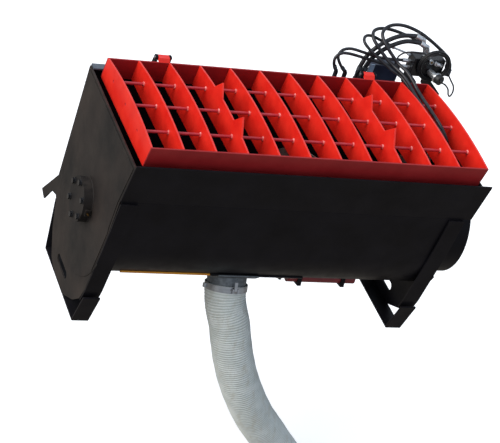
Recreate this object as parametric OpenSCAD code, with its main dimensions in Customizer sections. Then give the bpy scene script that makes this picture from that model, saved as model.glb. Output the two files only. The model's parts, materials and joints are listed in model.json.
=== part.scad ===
// Hydraulic concrete mixing bucket for a skid-steer loader.
// X runs along the auger, Y to the loader, Z up. The origin is on the mounting face.

/* [Bucket] */
// Length of the front plate, end to end
bucket_w = 1746; // [1700:1:1800]
// Thickness of the bucket's plates
plate_t = 8; // [6:1:8]
// How far the right end plate stands inside the front plate's end
drive_recess = 35; // [30:1:60]
// Outer radius of the trough
trough_r = 320; // [318:1:322]

/* [Legs] */
// Width of each bent skid strip
skid_w = 82; // [60:1:100]
// Thickness of the skid strip
skid_t = 10; // [8:1:12]

/* [Mount] */
// Width of the loader's mounting plate
mount_w = 1143; // [1100:1:1160]
// Distance between the centres of the two lock pin slots
pin_spacing = 1029; // [1000:1:1040]
// Length of a lock pin slot
pin_slot_l = 64; // [50:1:70]
// Width of a lock pin slot
pin_slot_w = 26; // [20:1:30]

/* [Grate] */
// Length of the grate, end bar to end bar
grate_w = 1650; // [1600:1:1655]
// Number of cells along the grate
cells = 11; // [11]
// Thickness of the grate's flat bars
bar_t = 8; // [6:1:10]
// Radius of the three cross rods
rod_r = 7; // [5:0.5:8]
// How far the slats' top edges rise above their ends
slat_crown = 26; // [15:1:30]

/* [Auger] */
// Radius of the auger's tube
shaft_r = 45; // [40:1:50]
// Outer radius of the helical flights
flight_r = 294; // [280:1:296]
// Inner radius of the helical flights
flight_inner_r = 215; // [190:1:230]
// Lead of the flights
flight_lead = 620; // [500:10:800]

/* [Outlet] */
// Where the outlet stands along the auger
outlet_x = -135; // [-160:1:-110]
// How far the outlet leans forward from straight down, in degrees
outlet_tilt = 25; // [25]
// Outer radius of the spigot that the discharge hose is clamped on
spigot_r = 94; // [90:1:94]
// Outer radius of the discharge hose
hose_r = 100; // [98:0.5:100]

/* [Hydraulics] */
// Radius of the two loader hoses
loader_half = 8.5; // [7:0.5:8.5]
// Radius of the two motor hoses
motor_half = 11; // [9:0.5:11]
// Radius of the thin drain and gate hoses
thin_half = 7.5; // [6:0.5:7.5]
// Radius of the solenoid's cable
cable_half = 4; // [3:0.5:4]

/* [Hidden] */

$fn = 64;
fit_gap = 0.05;   // running clearance, on the radius
face_gap = 0.3;   // clearance between faces that slide or rest

// The auger's axis, from the origin on the mounting face
axis_y = -399;
axis_z = 340;

// Planes along X
half_w = bucket_w / 2;
left_in = -half_w + plate_t;
right_out = half_w - drive_recess;
right_in = right_out - plate_t;

// Section of the bucket, from the auger's axis: [y, z]
front_top = [-416, 480];
crease = [-363, 254];
rear_top = [391, 464];
rear_y = 399;
rear_foot_z = -157;
skid_z = -528;
lip_root_z = -179;
trough_in = trough_r - plate_t;

// Angle at which a line from p touches the circle of radius r, on the side that s gives
function touch(p, r, s) = atan2(p[1], p[0]) + s * acos(r / norm(p));
front_touch = touch(crease, trough_r, 1);
rear_touch = touch(rear_top, trough_r, -1);
function on_circle(r, a) = r * [cos(a), sin(a)];

// Grate section
grate_front = [[-398, 568], [-369, 451]];
grate_rear = [[334, 548], [352, 436]];
hinge_axis = [360, 556];
hinge_xs = [-552, 502];
hinge_l = 54;
rod_places = [[193, 511], [-3, 523], [-201, 523]];

// Outlet, in its own frame: z is minus the distance from the auger's axis
gate_r = [trough_r + 1, trough_r + 7];
cover_r = [trough_r + 8.5, trough_r + 14.5];
gate_half_angle = 19;
outlet_half = 102;
spigot_end = 400;
outlet_bore_r = 88;
gate_x = [outlet_x - 98, outlet_x + 315];
port_x = outlet_x + 200;
guide_x = [outlet_x - 140, outlet_x + 335];
extension_end = -715;
cylinder_angle = -102;
cylinder_r = 352;
barrel_x = [210, 572];

// Left bearing and right drive
cover_bolt_r = 88;
cover_r_out = 104;
cover_l = 45;
flange_bolt_r = 87;
doubler_t = 3;
bearing_x = -half_w - doubler_t;
stub_r = 30;
drive_r = 265;
drive_end = 978;
coupling_r = 25;

// Routes of the hoses and of the cable, from the auger's axis
loader_a = [[1000, 470, 560], [987, 473, 595], [951, 480, 634], [900, 490, 668],
    [845, 503, 699], [792, 520, 722], [732, 540, 735], [680, 550, 736], [633, 548, 725],
    [600, 528, 704], [593, 495, 685], [610, 455, 660], [638, 430, 632], [666, 400, 608],
    [690, 345, 602], [706, 280, 586], [718, 210, 567], [726, 0, 560], [748, -62, 532],
    [766, -86, 500], [770, -90, 470]];
loader_b = [[900, 545, 590], [895, 577, 598], [868, 598, 618], [820, 603, 640],
    [765, 602, 656], [712, 598, 672], [656, 592, 684], [604, 580, 688], [567, 556, 683],
    [556, 520, 668], [570, 488, 649], [596, 460, 625], [622, 436, 604], [652, 400, 588],
    [677, 345, 581], [690, 285, 573], [691, 200, 563], [692, -10, 556], [704, -60, 530],
    [710, -76, 500], [711, -80, 470]];
loader_c = [[672, 555, 618], [630, 562, 632], [580, 565, 650], [538, 550, 661],
    [510, 522, 663], [504, 494, 653], [524, 466, 636], [556, 445, 616], [595, 420, 596],
    [640, 385, 575], [681, 348, 562], [700, 265, 548], [706, 90, 541], [716, -30, 545],
    [731, -90, 530], [738, -122, 495], [739, -125, 470]];
gate_a = [[371, 430, 520], [348, 431, 556], [345, 435, 590], [370, 441, 612],
    [415, 447, 612], [500, 456, 592], [600, 464, 567], [680, 474, 550], [735, 480, 548]];
gate_b = [[421, 430, 518], [386, 438, 552], [370, 456, 585], [386, 468, 614],
    [430, 470, 626], [505, 470, 612], [584, 475, 591], [660, 481, 582], [735, 488, 578]];
motor_a = [[516, 480, 492], [524, 485, 540], [547, 495, 590], [588, 502, 636],
    [645, 512, 674], [702, 514, 698], [772, 508, 708]];
motor_b = [[552, 490, 486], [558, 494, 530], [580, 500, 572], [620, 504, 614],
    [668, 504, 650], [730, 503, 676], [800, 492, 680]];
cable_in = [[715, 505, 535], [713, 503, 565], [716, 498, 595], [735, 486, 622],
    [770, 464, 642], [813, 438, 649]];
cable_out = [[970, 434, 545], [1000, 426, 525], [1024, 420, 495], [1031, 415, 464],
    [1020, 409, 442], [1003, 403, 455], [985, 397, 490], [955, 391, 517], [922, 386, 530]];
hose_route = [[0, 0, -spigot_end + 35], [0, 0, -spigot_end - 4], [4, 1, -436],
    [15, 4, -482], [45, 10, -560], [78, 30, -665], [120, 58, -770], [176, 92, -880],
    [246, 132, -985], [326, 176, -1085], [408, 214, -1170], [495, 250, -1262],
    [585, 285, -1352]];

// Valve group
block_size = [170, 70, 100];
block_at = [865, 485, 565];
coil_at = [885, 436, 590];
coil_r = 76;
coil_half = 13;
solenoid_turn = 20;

// Carries an outline one wall thickness t to the left of its direction of travel
function heading(p, i) = let (d = p[i + 1] - p[i]) d / norm(d);
function left_of(d) = [-d[1], d[0]];
function corner_shift(p, i, t) =
    let (a = left_of(heading(p, max(i - 1, 0))), b = left_of(heading(p, min(i, len(p) - 2))))
    t * (a + b) / (1 + a * b);
function shifted(p, t) = [for (i = [0 : len(p) - 1]) p[i] + corner_shift(p, i, t)];
function reversed(p) = [for (i = [len(p) - 1 : -1 : 0]) p[i]];

module strip(p, t) {
    polygon(concat(p, reversed(shifted(p, t))));
}

module at_axis() {
    translate([0, axis_y, axis_z]) children();
}

// Extrudes a [y, z] section from x0 to x1
module along_x(x0, x1) {
    translate([x0, 0, 0]) rotate([90, 0, 90]) linear_extrude(x1 - x0) children();
}

module rod_x(x0, x1, r) {
    translate([x0, 0, 0]) rotate([0, 90, 0]) cylinder(h = x1 - x0, r = r);
}

module both_ends() {
    children();
    translate([right_out - half_w, 0, 0]) mirror([1, 0, 0]) children();
}

// Outlet's frame: local z points at the auger's axis
module at_outlet() {
    at_axis() translate([outlet_x, 0, 0]) rotate([-outlet_tilt, 0, 0]) children();
}

// Part of a curved plate around the auger, between two radii and two angles
module curved_plate(x0, x1, r0, r1, a0, a1) {
    far = 2 * r1;
    mid = (a0 + a1) / 2;
    along_x(x0, x1) intersection() {
        difference() {
            circle(r1, $fn = 180);
            circle(r0, $fn = 180);
        }
        polygon([[0, 0], on_circle(far, a0), on_circle(far * 1.2, mid), on_circle(far, a1)]);
    }
}

// Tube swept along a route: each ring is square to the route and carries its start on
function unit(v) = v / norm(v);
function along(p, i) = unit(p[min(i + 1, len(p) - 1)] - p[max(i - 1, 0)]);
function across(v, t) = unit(v - (v * t) * t);
function starts(p, v, i = 0) = i == len(p) ? [] :
    let (n = across(v, along(p, i))) concat([n], starts(p, n, i + 1));

module tube(p, r, sides = 8, first = [0.3, 0.2, 1]) {
    n = starts(p, first);
    last = (len(p) - 1) * sides;
    rings = [for (i = [0 : len(p) - 1], k = [0 : sides - 1])
        let (a = 360 * k / sides, u = n[i], w = cross(along(p, i), u))
        p[i] + r * (cos(a) * u + sin(a) * w)];
    walls = [for (i = [0 : len(p) - 2], k = [0 : sides - 1])
        let (a = i * sides + k, b = i * sides + (k + 1) % sides)
        [b, a, a + sides, b + sides]];
    polyhedron(rings, concat([[for (k = [0 : sides - 1]) k]], walls,
        [[for (k = [sides - 1 : -1 : 0]) last + k]]), convexity = 6);
}

module hex_bolt(head_r, head_h, washer_r) {
    cylinder(h = 3, r = washer_r, $fn = 32);
    translate([0, 0, 3]) cylinder(h = head_h, r = head_r, $fn = 6);
}

// Outline of an end plate with its hook and its foot, inside the front plate and flange
module end_outline() {
    difference() {
        polygon([[391, 464], [398.5, -157], [556, -353], [500, -371], [430, -271], [366, -250],
            [346, -262], [299, -380], [208, -497], [150, -518], [-40, -518], [-67, -507],
            [-165, -452], [-236, -386], [-266, -311], [-310, -87], [-338, 66], [-353.9, 250.3],
            [-404.9, 468]]);
        fork_slot();
    }
}

// Rounded lashing slot in each foot
module fork_slot() {
    slot_y = [-8, 116];
    slot_z = -435;
    slot_half = 22;
    translate([slot_y[0], slot_z - slot_half]) square([slot_y[1] - slot_y[0], 2 * slot_half]);
    for (y = slot_y) translate([y, slot_z]) scale(0.5) circle(2 * slot_half * 0.999);
}

module left_end_plate() {
    color("#3f3e3f") at_axis() difference() {
        along_x(-half_w, left_in) end_outline();
        rod_x(-half_w - 1, left_in + 1, 40);
    }
}

module right_end_plate() {
    color("#333236") at_axis() difference() {
        along_x(right_in, right_out) end_outline();
        rod_x(right_in - 1, right_out + 1, 40);
    }
}

// Round-bottomed plates welded over the outside of both end plates
module end_doublers() {
    color("#464545") at_axis() both_ends() difference() {
        along_x(-half_w - doubler_t, -half_w) difference() {
            union() {
                translate([12, -8]) circle(348, $fn = 180);
                polygon([[376, 452], [384, 0], [355, -80], [0, -300], [-290, -150], [-322, 60],
                    [-338, 236], [-392, 452]]);
            }
            polygon([[-400, -600], [-400, 240], [-345, 240], [-330, 66], [-302, -87],
                [-258, -311], [-240, -600]]);
        }
        rod_x(-half_w - doubler_t - 1, -half_w + 1, 40);
    }
}

module front_plate() {
    color("#1f1e22") at_axis() along_x(-half_w, half_w)
        strip([crease + 0.5 * unit(front_top - crease), front_top], -plate_t);
}

module trough_shell() {
    color("#1c1b1f") at_axis() difference() {
        along_x(left_in, right_in) difference() {
            trough_solid(trough_r, crease, rear_top);
            trough_solid(trough_in, crease + plate_t * on_circle(1, front_touch + 180),
                rear_top + plate_t * on_circle(1, rear_touch + 180), 20);
        }
        translate([outlet_x, 0, 0]) rotate([-outlet_tilt, 0, 0])
            translate([0, 0, -trough_r - 20]) cylinder(h = 60, r = outlet_bore_r);
    }
}

// Trough as if it were full, between its two tangent walls, drawn over by more
module trough_solid(r, a, b, more = 0) {
    ta = on_circle(r, front_touch);
    tb = on_circle(r, rear_touch);
    circle(r, $fn = 180);
    polygon([ta, [0, 0], tb, b + more * unit(b - tb), a + more * unit(a - ta)]);
}

module rear_plate() {
    color("#232226") at_axis() along_x(left_in, right_in) {
        translate([rear_y - plate_t, rear_foot_z]) square([plate_t, 464 - rear_foot_z]);
        difference() {
            translate([270, rear_foot_z - plate_t]) square([rear_y - 270, plate_t]);
            circle(trough_r + face_gap, $fn = 180);
        }
    }
}

module hinge_rail() {
    color("#59636e") at_axis() along_x(left_in, right_in)
        translate([356, 464]) square([rear_y - 356, plate_t]);
}

module skids() {
    color("#232226") at_axis() both_ends() along_x(-half_w, -half_w + skid_w)
        strip([[-283, -350], [-225, skid_z], [313, skid_z], [359, -262]], skid_t);
}

module leg_flanges() {
    color("#1d1c20") at_axis() both_ends() difference() {
        along_x(-half_w, -half_w + skid_w)
            strip([[-372, 246], [-348, 66], [-320, -87], [-276, -311], [-252, -386]], plate_t);
        translate([-half_w + skid_w, 0, -386]) rotate([90, 0, 0])
            translate([0, 0, 200]) difference() {
                translate([-30, -1, 0]) cube([31, 31, 200]);
                translate([-30, 30, -1]) cylinder(h = 202, r = 30);
            }
    }
}

module mount_plate() {
    flange_y = 418;
    flange_z = -520;
    color("#232226") at_axis() difference() {
        union() {
            along_x(-mount_w / 2, mount_w / 2) {
                translate([rear_y - 10, flange_z]) square([10, lip_root_z - flange_z]);
                translate([rear_y, flange_z]) square([47, 12]);
            }
        }
        for (side = [-1, 1]) translate([side * pin_spacing / 2, flange_y, flange_z - 1])
            pin_slot();
    }
}

module pin_slot() {
    straight = pin_slot_l - pin_slot_w;
    translate([-straight / 2, -pin_slot_w / 2, 0]) cube([straight, pin_slot_w, 14]);
    for (side = [-1, 1]) translate([side * straight / 2, 0, 0])
        cylinder(h = 14, r = pin_slot_w / 2);
}

module mount_lip() {
    color("#232226") at_axis() along_x(-mount_w / 2, mount_w / 2)
        polygon([[rear_y - 10, -165], [rear_y - 10, lip_root_z], [418, lip_root_z],
            [549, -359], [557, -352], [424, -157], [rear_y, -157], [rear_y, -165]]);
}

module mount_ribs() {
    color("#232226") at_axis() for (x = [-540, -180, 180, 540]) along_x(x - 6, x + 6)
        difference() {
            polygon([[389, -166], [389, -508], [340, -508], [120, -320], [200, -166]]);
            circle(trough_r + face_gap, $fn = 180);
        }
}

module bearing_cover() {
    boss_l = 22;
    color("#2b2d33") at_axis() difference() {
        union() {
            rod_x(bearing_x - cover_l, bearing_x, cover_r_out);
            translate([bearing_x - 32, -cover_r_out - 8, -16]) cube([boss_l, 30, 32]);
        }
        rod_x(bearing_x - cover_l + 10, bearing_x + 1, 62);
    }
}

// Hex bolts of the bearing cover and of the motor's flange
module flange_bolts() {
    color("#26272b") at_axis() {
        for (i = [0 : 5]) rotate([60 * i + 30, 0, 0])
            translate([bearing_x - cover_l, cover_bolt_r, 0]) rotate([0, -90, 0])
                hex_bolt(14, 10, 16);
        for (i = [0 : 3]) rotate([90 * i + 45, 0, 0])
            translate([right_out + 18, flange_bolt_r, 0]) rotate([0, 90, 0]) hex_bolt(12, 9, 14);
    }
}

module shaft_bearing() {
    color("silver") at_axis() difference() {
        rod_x(bearing_x - 33, bearing_x - 2, 62);
        rod_x(bearing_x - 34, bearing_x - 1, stub_r + fit_gap);
    }
}

// Rings that keep the mix out of the bearing and the motor
module shaft_seals() {
    color("#111111") at_axis() for (x = [-half_w - doubler_t + 1, right_in + 1]) difference() {
        rod_x(x, x + 9, 40);
        rod_x(x - 1, x + 10, stub_r + face_gap);
    }
}

module grease_nipple() {
    color("#b08d3c") at_axis()
        translate([bearing_x - 21, -cover_r_out - 8, 0]) rotate([90, 0, 0]) {
            cylinder(h = 6, r = 6, $fn = 6);
            translate([0, 0, 6]) cylinder(h = 9, r = 3.5, $fn = 24);
        }
}

// Drum-shaped guard over the drive at the right end
module drive_cover() {
    wall = 5;
    color("#1b1c20") at_axis() difference() {
        rod_x(right_out + doubler_t, drive_end, drive_r);
        rod_x(right_out, drive_end - wall, drive_r - wall);
    }
}

module drive_motor() {
    start = right_out + doubler_t;
    color("#2a2b2f") at_axis() difference() {
        union() {
            rod_x(start, start + 15, 102);
            rod_x(start + 15, start + 110, 72);
            translate([start + 60, -20, 66]) cube([40, 40, 24]);
        }
        rod_x(start - 1, start + 80, coupling_r + fit_gap);
    }
}

// Curved saddle under the gate, with the spigot that the hose is clamped on
module outlet_spigot() {
    tilt = -90 - outlet_tilt;
    color("#4d5157") {
        at_axis() difference() {
            curved_plate(outlet_x - outlet_half, outlet_x + outlet_half, cover_r[0], cover_r[1],
                tilt - 24, tilt + 24);
            radial_bore(outlet_x);
        }
        at_outlet() difference() {
            translate([0, 0, -spigot_end]) cylinder(h = spigot_end - 250, r = spigot_r);
            translate([0, 0, -spigot_end - 1]) cylinder(h = spigot_end, r = outlet_bore_r);
            translate([-150, 0, 0]) rod_x(0, 300, cover_r[1]);
        }
    }
}

module radial_bore(x) {
    translate([x, 0, 0]) rotate([-outlet_tilt, 0, 0])
        translate([0, 0, -spigot_end]) cylinder(h = 200, r = outlet_bore_r);
}

// Curved rails in front of and behind the gate
module guide_pair(x0, x1) {
    tilt = -90 - outlet_tilt;
    at_axis() for (side = [-1, 1]) {
        inner = tilt + side * (gate_half_angle + 0.4);
        outer = tilt + side * (gate_half_angle + 2.6);
        curved_plate(x0, x1, trough_r, cover_r[0], min(inner, outer), max(inner, outer));
    }
}

module gate_guides() {
    color("#2a2b2f") guide_pair(guide_x[0], guide_x[1]);
}

module guide_extensions() {
    color("#e39a1e") guide_pair(extension_end, guide_x[0]);
}

// Sliding plate: blank over the outlet when shut, with a port that stands there when open
module gate_plate() {
    tilt = -90 - outlet_tilt;
    lug_x = gate_x[1] - 12;
    color("#8b9198") at_axis() {
        difference() {
            curved_plate(gate_x[0], gate_x[1], gate_r[0], gate_r[1],
                tilt - gate_half_angle, tilt + gate_half_angle);
            radial_bore(port_x);
        }
        rotate([cylinder_angle + 90, 0, 0]) difference() {
            translate([lug_x, -12, -cylinder_r - 16])
                cube([12, 24, cylinder_r + 16 - gate_r[1] + 0.4]);
            translate([0, 0, -cylinder_r]) rod_x(lug_x - 1, lug_x + 13, 8);
        }
    }
}

module on_cylinder() {
    at_axis() rotate([cylinder_angle + 90, 0, 0]) translate([0, 0, -cylinder_r]) children();
}

module gate_rod() {
    lug_x = gate_x[1] - 12;
    color("silver") on_cylinder() {
        rod_x(lug_x, lug_x + 12, 8);
        rod_x(lug_x + 12, lug_x + 20, 13);
        rod_x(lug_x + 20, barrel_x[1] - 60, 11);
        rod_x(barrel_x[1] - 60, barrel_x[1] - 40, 22);
        translate([lug_x - 8, 0, 0]) rotate([0, 90, 0]) cylinder(h = 8, r = 14, $fn = 6);
    }
}

module gate_barrel() {
    color("#7d1f24") on_cylinder() difference() {
        union() {
            rod_x(barrel_x[0], barrel_x[1], 27);
            for (x = [barrel_x[0] + 26, barrel_x[1] - 26])
                translate([x - 12, 10, -12]) cube([24, 28, 24]);
        }
        rod_x(barrel_x[0] + 18, barrel_x[1] - 15, 22 + fit_gap);
        rod_x(barrel_x[0] - 1, barrel_x[0] + 20, 11 + fit_gap);
    }
}

// Saddle that holds the gate's cylinder to the trough, at both of its ends
module barrel_bracket() {
    color("#232226") at_axis() rotate([cylinder_angle + 90, 0, 0])
        for (x = [barrel_x[0] + 60, barrel_x[1] - 70]) difference() {
            translate([x - 10, -36, -cylinder_r - 34]) cube([20, 72, 74]);
            translate([0, 0, -cylinder_r]) rod_x(x - 11, x + 11, 27.1);
            rod_x(x - 11, x + 11, trough_r);
        }
}

module at_latch() {
    translate([0, -hose_r - 12, -381]) children();
}

// Band that clamps the hose on the spigot, with the lever's hinge block
module hose_clamp() {
    band_z = [-396, -366];
    color("#9a9ca0") at_outlet() difference() {
        union() {
            translate([0, 0, band_z[0]]) cylinder(h = band_z[1] - band_z[0], r = hose_r + 3);
            for (x = [-16, 9]) translate([x, -hose_r - 20, -392]) cube([7, 22, 22]);
            translate([-hose_r - 16, -8, -391]) cube([16, 16, 20]);
        }
        translate([0, 0, band_z[0] - 1]) cylinder(h = band_z[1] - band_z[0] + 2, r = hose_r);
        at_latch() rod_x(-30, 30, 4);
    }
}

// Over-centre lever on the clamp band
module clamp_lever() {
    color("#b9bbbd") at_outlet() at_latch() {
        rod_x(-18, 18, 4 - fit_gap);
        rod_x(-7.5, 7.5, 8);
        translate([-7.5, -8, 0]) cube([15, 4, 43]);
    }
}

module discharge_hose() {
    hose_sides = 24;
    color("#d6dbe0") at_outlet() difference() {
        tube(hose_route, hose_r, hose_sides, [1, 0, 0]);
        tube(concat([hose_route[0] + [0, 0, 5]], [for (i = [1 : len(hose_route) - 2])
            hose_route[i]], [hose_route[len(hose_route) - 1] + [28, 11, -28]]),
            (spigot_r + face_gap) / cos(180 / hose_sides), hose_sides, [1, 0, 0]);
    }
}

module hinge_outline(r) {
    translate(hinge_axis) circle(r);
}

module hinge_brackets() {
    color("#232226") at_axis() for (x = hinge_xs, side = [-1, 1]) difference() {
        middle = x + side * (hinge_l / 2 + 6);
        along_x(middle - 5, middle + 5) {
            hinge_outline(14);
            polygon([[356, 472], [398, 472], [373, 562], [347, 551]]);
        }
        translate([0, hinge_axis[0], hinge_axis[1]]) rod_x(middle - 6, middle + 6, 8);
    }
}

module hinge_pins() {
    color("#8a8d91") at_axis() translate([0, hinge_axis[0], hinge_axis[1]])
        for (x = hinge_xs) rod_x(x - hinge_l / 2 - 16, x + hinge_l / 2 + 16, 8);
}

module hinge_knuckles() {
    color("#c8262a") at_axis() for (x = hinge_xs) difference() {
        along_x(x - hinge_l / 2, x + hinge_l / 2) {
            hinge_outline(13);
            polygon([[326, 548.1], [335, 548.1], [352, 550], [360, 556], [360, 569], [338, 566]]);
        }
        translate([0, hinge_axis[0], hinge_axis[1]]) rod_x(x - 40, x + 40, 8 + fit_gap);
    }
}

// Ledges inside the front plate that the grate rests on
module grate_ledges() {
    color("#1f1e22") at_axis() for (x = [-600, 0, 600]) along_x(x - 90, x + 90)
        polygon([[-398, 442], [-352, 442], [-352, 450.7], [-400, 450.7]]);
}

// Section between the grate's long bars, under one long arc
module slat_section() {
    a = grate_front[0];
    b = grate_rear[0];
    chord = b - a;
    arc_r = norm(chord) * norm(chord) / (8 * slat_crown) + slat_crown / 2;
    centre = (a + b) / 2 - left_of(unit(chord)) * (arc_r - slat_crown);
    intersection() {
        polygon([grate_front[1] + [bar_t, 0], grate_rear[1] - [bar_t, 0], b - [bar_t, 0],
            b + [-bar_t, 80], a + [bar_t, 80], a + [bar_t, 0]]);
        translate(centre) circle(arc_r, $fn = 360);
    }
}

module slat(x) {
    difference() {
        along_x(x - bar_t / 2, x + bar_t / 2) {
            slat_section();
            children();
        }
        for (p = rod_places) translate([0, p[0], p[1]]) rod_x(x - bar_t, x + bar_t, rod_r + 0.3);
    }
}

cell = grate_w / cells;
toothed = [3, 8];

module grate_slats() {
    color("#e02b25") at_axis() for (k = [1 : cells - 1])
        if (k != toothed[0] && k != toothed[1]) slat(k * cell - grate_w / 2);
}

// Slats with the two upward teeth that split bags
module toothed_slats() {
    color("#ef3128") at_axis() for (k = toothed) slat(k * cell - grate_w / 2) {
        polygon([[131, 560], [50, 640], [-4, 570]]);
        polygon([[-147, 570], [-238, 654], [-300, 560]]);
    }
}

module grate_end_bars() {
    reach = grate_w / 2 - bar_t / 2;
    color("#d82a26") at_axis() for (x = [-reach, reach]) slat(x);
}

module grate_long_bars() {
    color("#9a272a") at_axis() along_x(-grate_w / 2, grate_w / 2) {
        strip([grate_front[1], grate_front[0]], -bar_t * 0.97);
        strip([grate_rear[0], grate_rear[1]], -bar_t * 0.97);
    }
}

module grate_rods() {
    reach = grate_w / 2 - bar_t;
    color("#b4303c") at_axis() for (p = rod_places)
        translate([0, p[0], p[1]]) rod_x(-reach - 6, reach + 6, rod_r);
}

module auger_shaft() {
    color("#6d6258") at_axis() difference() {
        union() {
            rod_x(left_in + 6, right_in - 6, shaft_r);
            rod_x(bearing_x - 33, left_in + 6, stub_r);
            rod_x(right_in - 6, right_out + doubler_t - 1, stub_r);
        }
        rod_x(560, right_out + doubler_t, coupling_r);
    }
}

// Two helical ribbons of opposite hand that carry the mix to the outlet
module auger_flights() {
    reach = [left_in + 22, outlet_x - 20, outlet_x + 20, right_in - 22];
    color("#6d6258") at_axis() {
        ribbon(reach[0], reach[1], -1);
        ribbon(reach[2], reach[3], 1);
    }
}

module ribbon(x0, x1, hand) {
    l = x1 - x0;
    translate([x0, 0, 0]) rotate([0, 90, 0])
        linear_extrude(l, twist = -hand * 360 * l / flight_lead, slices = round(l / 22), $fn = 4)
            translate([flight_inner_r, -13]) square([flight_r - flight_inner_r, 26]);
}

// Arms from the tube to the ribbons, turned to meet them
module flight_arms() {
    reach = [left_in + 22, outlet_x + 20];
    color("#6d6258") at_axis() {
        for (i = [0 : 3]) arm(reach[0] + 30 + 200 * i, 30 + 200 * i);
        for (i = [0 : 3]) arm(reach[1] + 30 + 215 * i, -(30 + 215 * i));
    }
}

module arm(x, travelled) {
    turn = 360 * travelled / flight_lead;
    translate([x, 0, 0]) rotate([-turn, 0, 0])
        translate([0, 0, -flight_inner_r - 4]) difference() {
            cylinder(h = flight_inner_r + 4, r = 14, $fn = 32);
            translate([0, 0, flight_inner_r + 4]) rod_x(-20, 20, shaft_r);
        }
}

module drive_coupling() {
    color("#8a8d91") at_axis() rod_x(600, right_out + doubler_t + 75, coupling_r);
}

module valve_bracket() {
    color("#232226") at_axis() {
        translate([790, rear_y, 440]) cube([10, 125, 75]);
        translate([900, rear_y - 60, 440]) cube([10, 111, 55]);
        translate([900, rear_y + 51, 440]) cube([10, 74, 75]);
        translate([824, rear_y, 410]) cube([86, 10, 60]);
    }
}

module valve_block() {
    color("#202126") at_axis() translate(block_at) cube(block_size, center = true);
}

module at_solenoid() {
    at_axis() translate([880, 450, 548]) rotate([0, 0, solenoid_turn]) rotate([90, 0, 0])
        children();
}

module solenoid() {
    color("silver") difference() {
        at_solenoid() {
            cylinder(h = 52, r = 18);
            translate([0, 0, 52]) cylinder(h = 10, r = 27);
        }
        valve_block();
    }
}

module solenoid_cap() {
    color("#17181b") at_solenoid() {
        translate([0, 0, 62]) cylinder(h = 24, r = 25);
        translate([0, 0, 86]) cylinder(h = 8, r = 9, $fn = 6);
    }
}

// Hose ends and adaptors on the valve block
module valve_fittings() {
    color("#c3c8cc") at_axis() {
        translate([1000, 470, 530]) cylinder(h = 30, r = 12);
        translate([0, 470, 540]) rod_x(950, 1000, 11);
        translate([900, 520, 590]) rotate([-90, 0, 0]) cylinder(h = 25, r = 12);
        translate([0, 480, 548]) rod_x(735, 780, 10);
        translate([0, 488, 578]) rod_x(735, 780, 10);
        fitting(motor_a[6], [822, 500, 690], 14);
        fitting([822, 500, 690], [846, 490, 612], 8);
        fitting(motor_b[6], [845, 484, 660], 14);
        fitting([845, 484, 660], [864, 476, 612], 8);
        fitting(loader_c[0], [704, 549, 607], 10);
        fitting([704, 549, 607], [783, 512, 598], 5);
    }
}

// Round bar from a to b
module fitting(a, b, r) {
    d = b - a;
    translate(a) rotate([0, acos(d[2] / norm(d)), atan2(d[1], d[0])])
        cylinder(h = norm(d), r = r, $fn = 32);
}

module control_box() {
    color("#232a3d") at_axis() translate([604, 492, 410]) cube([140, 60, 125]);
}

// Bare folded bracket at the box's left side, down to the rear plate
module box_bracket() {
    color("#9db7d1") at_axis() {
        translate([578, 492, 380]) cube([26, 6, 155]);
        translate([578, rear_y, 380]) cube([26, 93, 6]);
        translate([604, rear_y, 404]) cube([140, 153, 6]);
        translate([598, 492, 404]) cube([6, 60, 6]);
    }
}

module loader_hose_a() {
    color("#23252a") at_axis() tube(loader_a, loader_half);
}

module loader_hose_b() {
    color("#23252a") at_axis() tube(loader_b, loader_half);
}

module loader_hose_c() {
    color("#23252a") at_axis() tube(loader_c, thin_half);
}

// Couplers on the loader hoses' free ends, hanging in the last cell
module quick_couplers() {
    coupler_gap = 2.5;
    color("#9b9ea2") at_axis() for (p = [[loader_a, 17], [loader_b, 17], [loader_c, 14]]) {
        end = p[0][len(p[0]) - 1] - [0, 0, coupler_gap];
        translate(end - [0, 0, 40]) cylinder(h = 40, r = p[1] - 5);
        translate(end - [0, 0, 85]) cylinder(h = 45, r = p[1] - 1);
        translate(end - [0, 0, 105]) cylinder(h = 20, r = p[1] - 7);
    }
}

module gate_hose_a() {
    color("#23252a") at_axis() tube(gate_a, thin_half);
}

module gate_hose_b() {
    color("#23252a") at_axis() tube(gate_b, thin_half);
}

module motor_hose_a() {
    color("#23252a") at_axis() tube(motor_a, motor_half);
}

module motor_hose_b() {
    color("#23252a") at_axis() tube(motor_b, motor_half);
}

// Bulkhead unions behind the hinge rail, and the pipes that go down from them
module steel_pipes() {
    color("#4b4f55") at_axis() {
        for (p = [gate_a[0], gate_b[0], motor_a[0], motor_b[0]]) {
            pipe_r = 11;
            translate([p[0], p[1], 430]) cylinder(h = p[2] - 430, r = pipe_r);
            translate([p[0], p[1], 445]) cylinder(h = 16, r = 16, $fn = 6);
            translate([p[0] - 14, rear_y, 434]) cube([28, p[1] - rear_y - pipe_r + 1, 8]);
        }
    }
}

module cable_coil() {
    color("#17181b") at_axis() translate(coil_at) rotate([90, 0, 0])
        rotate_extrude($fn = 72) translate([coil_r, 0]) circle(coil_half, $fn = 24);
}

module control_cable() {
    color("#17181b") at_axis() {
        tube(cable_in, cable_half);
        tube(cable_out, cable_half);
    }
}

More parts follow.
